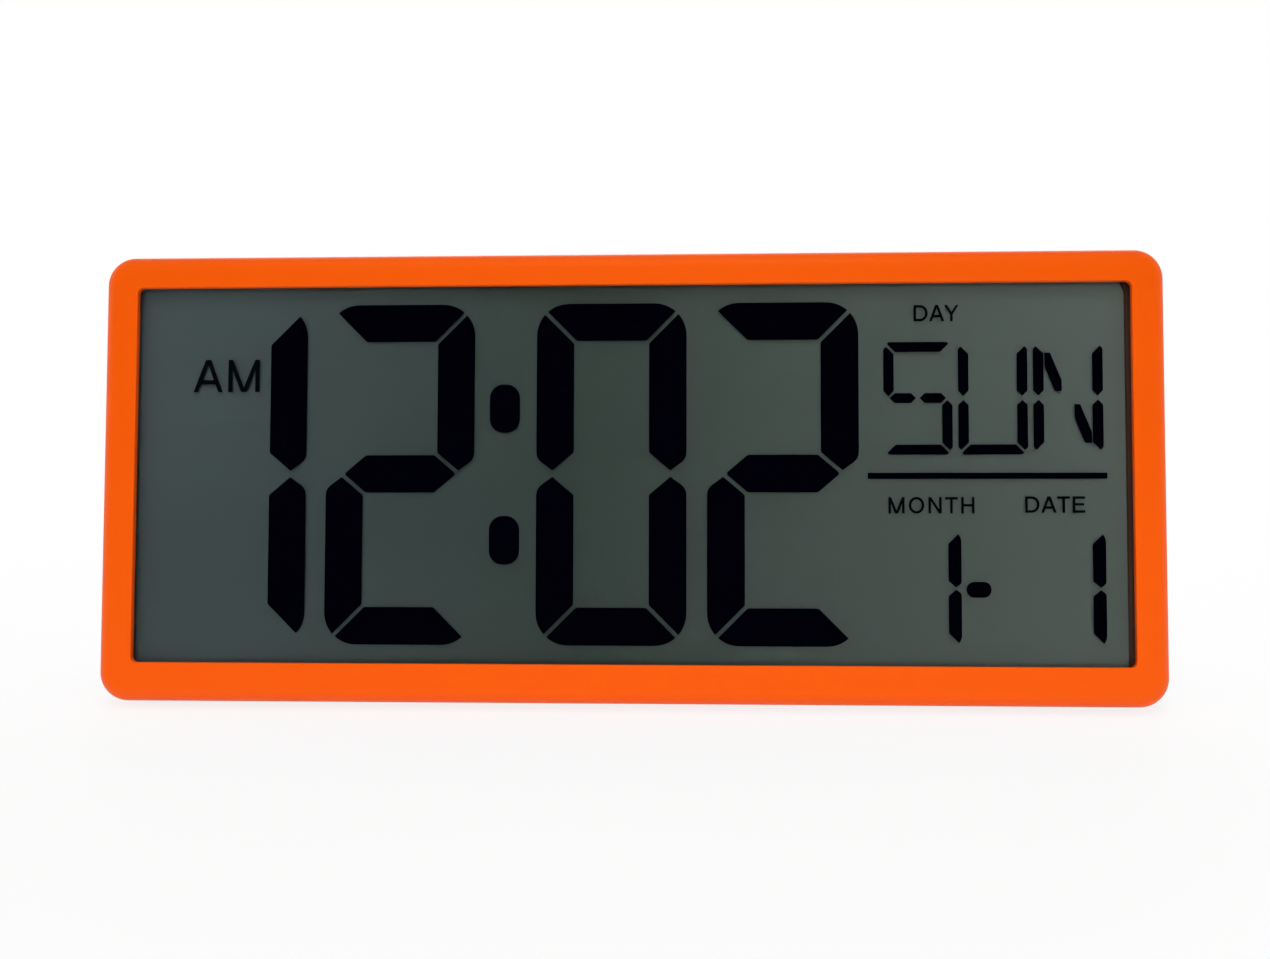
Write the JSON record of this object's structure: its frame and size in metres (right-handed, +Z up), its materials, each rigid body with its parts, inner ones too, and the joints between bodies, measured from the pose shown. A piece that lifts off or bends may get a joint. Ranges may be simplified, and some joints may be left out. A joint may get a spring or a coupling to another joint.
{
  "type": "digital day clock",
  "caption": "Wide table clock with a jumbo segmented liquid crystal display of time, day and date, in a two-part moulded case with rear buttons, battery bay, easel leg and keyholes.",
  "frame": {"origin": "middle of the overall box at the table surface", "axes": "+X to the viewer's right, +Y to the back of the clock, +Z up; the clock leans back 12 degrees"},
  "size_m": [0.368, 0.0574, 0.1548],
  "materials": {
    "orange_abs": "satin moulded ABS",
    "charcoal_abs": "fine-textured moulded ABS",
    "door_abs": "fine-textured moulded ABS",
    "leg_abs": "fine-textured moulded ABS",
    "button_abs": "satin moulded ABS",
    "foot_rubber": "matt rubber",
    "gasket_foam": "closed-cell foam",
    "front_polarizer": "anti-glare film",
    "front_glass": "clear float glass",
    "rear_glass": "clear float glass",
    "edge_epoxy": "epoxy bead",
    "reflector_film": "transflective film",
    "lit_segment": "darkened liquid crystal",
    "black_abs": "moulded ABS",
    "circuit_board": "solder-masked fibreglass",
    "chip_epoxy": "epoxy blob",
    "can_steel": "plated steel",
    "switch_plastic": "moulded nylon",
    "zebra_rubber": "silicone with carbon layers",
    "buzzer_brass": "brass disc",
    "screw_steel": "zinc-plated steel",
    "pin_steel": "drawn steel",
    "cell_can": "wrapped can",
    "contact_steel": "nickel-plated spring steel",
    "red_pvc": "PVC insulation",
    "black_pvc": "PVC insulation"
  },
  "bodies": {
    "case": {"front_bezel": "orange_abs", "rear_cover": "charcoal_abs", "lcd_gasket": "gasket_foam", "lcd_front_polarizer": "front_polarizer", "lcd_front_glass": "front_glass", "lcd_edge_seal": "edge_epoxy", "lcd_rear_glass": "rear_glass", "lcd_reflector": "reflector_film", "time_digits": "lit_segment", "colon_dots": "lit_segment", "calendar_digits": "lit_segment", "divider_bar": "lit_segment", "lcd_retainer": "black_abs", "main_board": "circuit_board", "controller_chip": "chip_epoxy", "quartz_crystal": "can_steel", "tact_switches": "switch_plastic", "zebra_connectors": "zebra_rubber", "piezo_buzzer": "buzzer_brass", "case_screws": "screw_steel", "retainer_screws": "screw_steel", "board_screws": "screw_steel", "stand_hinge_pin": "pin_steel", "battery_cell_upper": "cell_can", "battery_cell_lower": "cell_can", "battery_contact_positive": "contact_steel", "battery_contact_negative": "contact_steel", "battery_contact_bridge": "contact_steel", "battery_lead_red": "red_pvc", "battery_lead_black": "black_pvc"},
    "button_mode": {"button_mode": "button_abs"},
    "button_set": {"button_set": "button_abs"},
    "button_up": {"button_up": "button_abs"},
    "button_down": {"button_down": "button_abs"},
    "battery_door": {"battery_door": "door_abs"},
    "stand": {"stand_leg": "leg_abs", "stand_foot": "foot_rubber"}
  },
  "joints": [
    {"name": "mode_press", "type": "slide", "parent": "case", "child": "button_mode", "axis": [0, -0.9781, 0.2079], "range_m": [0, 0.0006], "stiffness_N_per_m": 800, "springref_m": -0.0005},
    {"name": "set_press", "type": "slide", "parent": "case", "child": "button_set", "axis": [0, -0.9781, 0.2079], "range_m": [0, 0.0006], "stiffness_N_per_m": 800, "springref_m": -0.0005},
    {"name": "up_press", "type": "slide", "parent": "case", "child": "button_up", "axis": [0, -0.9781, 0.2079], "range_m": [0, 0.0006], "stiffness_N_per_m": 800, "springref_m": -0.0005},
    {"name": "down_press", "type": "slide", "parent": "case", "child": "button_down", "axis": [0, -0.9781, 0.2079], "range_m": [0, 0.0006], "stiffness_N_per_m": 800, "springref_m": -0.0005},
    {"name": "battery_door_lift", "type": "slide", "parent": "case", "child": "battery_door", "axis": [0, 0.9781, -0.2079], "range_m": [0, 0.025]},
    {"name": "stand_fold", "type": "hinge", "parent": "case", "child": "stand", "pos_m": [0, 0.01258, 0.08206], "axis": [-1, 0, 0], "range_deg": [0, 21.4]}
  ]
}
